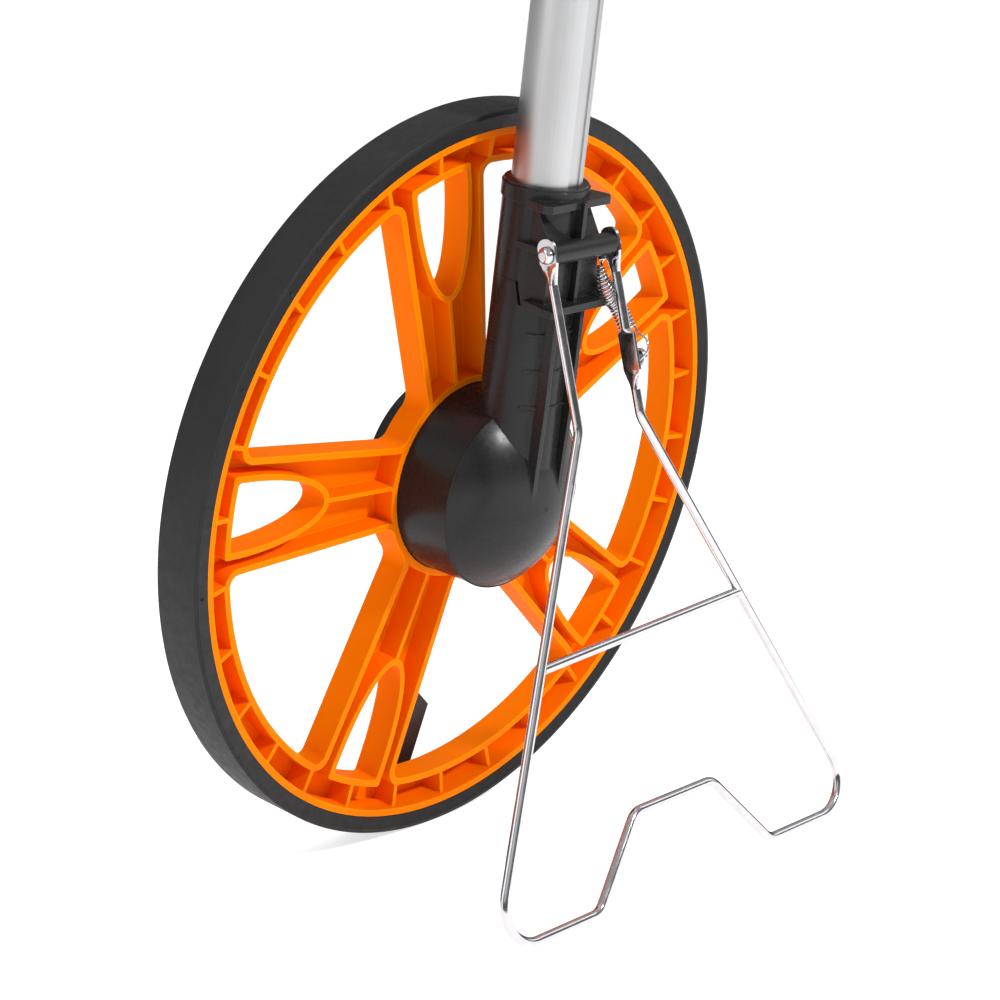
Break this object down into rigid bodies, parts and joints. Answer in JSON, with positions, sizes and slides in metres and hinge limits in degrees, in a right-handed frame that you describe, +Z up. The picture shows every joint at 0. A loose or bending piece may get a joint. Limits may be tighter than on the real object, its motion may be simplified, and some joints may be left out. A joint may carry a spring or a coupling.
{
  "type": "measuring wheel",
  "caption": "Walking measuring wheel with a spoked wheel, geared drive up a telescopic tube to a digit counter, and a folding sprung wire stand.",
  "frame": {"origin": "centre of the bounding box, on the floor the tyre and the stand's feet rest on", "axes": "+Z up; X along the rolling direction; the axle, the tube and the stand lean in the Y-Z plane, with the stand on the -Y side"},
  "size_m": [0.3184, 0.2166, 0.7222],
  "materials": {
    "orange": "moulded, satin gloss",
    "tyre": "matt rubber",
    "black_plastic": "satin",
    "aluminium": "satin anodised",
    "chrome": "bright zinc plate",
    "spring_steel": "bright wire",
    "steel": "zinc plated",
    "bush": "natural acetal",
    "bezel": "satin",
    "lens": "clear",
    "drum": "matt",
    "grip_rubber": "matt"
  },
  "bodies": {
    "frame": {"gear_housing": "black_plastic", "tube_bracket": "black_plastic", "bracket_screws": "steel", "lower_tube": "aluminium", "axle": "steel", "axle_washer": "steel", "axle_nut": "steel", "start_pointer": "black_plastic", "shaft_bush": "bush", "hinge_pin": "chrome", "stand_spring": "spring_steel", "clamp_collar": "black_plastic", "clamp_bolt": "steel", "clamp_nut": "steel", "clamp_pin": "steel"},
    "wheel": {"wheel_rim": "orange", "tyre": "tyre", "wheel_bush_near": "bush", "wheel_bush_far": "bush", "drive_gear": "bush", "gear_screws": "steel"},
    "lower_shaft": {"drive_pinion": "bush", "lower_drive_shaft": "steel"},
    "stand": {"stand_wire": "chrome", "stand_crossbar": "chrome", "spring_rivet": "chrome"},
    "handle": {"upper_tube": "aluminium", "slide_bush": "bush", "upper_shaft_bush": "bush", "counter_housing_near": "black_plastic", "counter_housing_far": "black_plastic", "counter_bezel": "bezel", "counter_lens": "lens", "counter_screws": "steel", "drum_axle": "steel", "grip_sleeve": "grip_rubber"},
    "upper_shaft": {"upper_drive_shaft": "steel", "counter_pinion": "bush"},
    "drum_1": {"counter_gear": "bush", "digit_drum_1": "drum"},
    "drum_2": {"digit_drum_2": "drum"},
    "drum_3": {"digit_drum_3": "drum"},
    "drum_4": {"digit_drum_4": "drum"},
    "drum_5": {"digit_drum_5": "drum"},
    "reset_lever": {"reset_lever": "orange"},
    "clamp_lever": {"clamp_lever": "orange"}
  },
  "joints": [
    {"name": "wheel_spin", "type": "hinge", "parent": "frame", "child": "wheel", "pos_m": [0, 0.06308, 0.158], "axis": [0, 0.9801, 0.1986], "continuous": true},
    {"name": "lower_shaft_spin", "type": "hinge", "parent": "frame", "child": "lower_shaft", "pos_m": [0, 0.02783, 0.16744], "axis": [0, -0.1986, 0.9801], "continuous": true},
    {"name": "handle_extend", "type": "slide", "parent": "frame", "child": "handle", "axis": [0, -0.1986, 0.9801], "range_m": [0, 0.3]},
    {"name": "upper_shaft_spin", "type": "hinge", "parent": "handle", "child": "upper_shaft", "pos_m": [0, -0.06227, 0.61215], "axis": [0, -0.1986, 0.9801], "continuous": true},
    {"name": "stand_fold", "type": "hinge", "parent": "frame", "child": "stand", "pos_m": [0, -0.01187, 0.25699], "axis": [-1, 0, 0], "range_deg": [0, 152], "stiffness_Nm_per_rad": 0.15, "springref_deg": -95.68},
    {"name": "reset_lever_turn", "type": "hinge", "parent": "handle", "child": "reset_lever", "pos_m": [0, -0.09792, 0.62533], "axis": [0, 0.9801, 0.1986], "range_deg": [0, 60], "stiffness_Nm_per_rad": 0.01, "springref_deg": -28.65},
    {"name": "clamp_lever_open", "type": "hinge", "parent": "frame", "child": "clamp_lever", "pos_m": [-0.026, -0.06663, 0.55311], "axis": [0, 0.1986, -0.9801], "range_deg": [0, 110]},
    {"name": "drum_1_spin", "type": "hinge", "parent": "handle", "child": "drum_1", "pos_m": [0, -0.06342, 0.63232], "axis": [0, 0.9801, 0.1986], "continuous": true},
    {"name": "drum_2_spin", "type": "hinge", "parent": "handle", "child": "drum_2", "pos_m": [0, -0.0693, 0.63113], "axis": [0, 0.9801, 0.1986], "continuous": true},
    {"name": "drum_3_spin", "type": "hinge", "parent": "handle", "child": "drum_3", "pos_m": [0, -0.07519, 0.62994], "axis": [0, 0.9801, 0.1986], "continuous": true},
    {"name": "drum_4_spin", "type": "hinge", "parent": "handle", "child": "drum_4", "pos_m": [0, -0.08106, 0.62875], "axis": [0, 0.9801, 0.1986], "continuous": true},
    {"name": "drum_5_spin", "type": "hinge", "parent": "handle", "child": "drum_5", "pos_m": [0, -0.08695, 0.62756], "axis": [0, 0.9801, 0.1986], "continuous": true}
  ],
  "couplings": [
    {"joint": "lower_shaft_spin", "follows": "wheel_spin", "ratio": -2},
    {"joint": "upper_shaft_spin", "follows": "wheel_spin", "ratio": -2},
    {"joint": "drum_1_spin", "follows": "wheel_spin", "ratio": -1},
    {"joint": "drum_2_spin", "follows": "wheel_spin", "ratio": -0.1},
    {"joint": "drum_3_spin", "follows": "wheel_spin", "ratio": -0.01},
    {"joint": "drum_4_spin", "follows": "wheel_spin", "ratio": -0.001},
    {"joint": "drum_5_spin", "follows": "wheel_spin", "ratio": -0.0001}
  ]
}
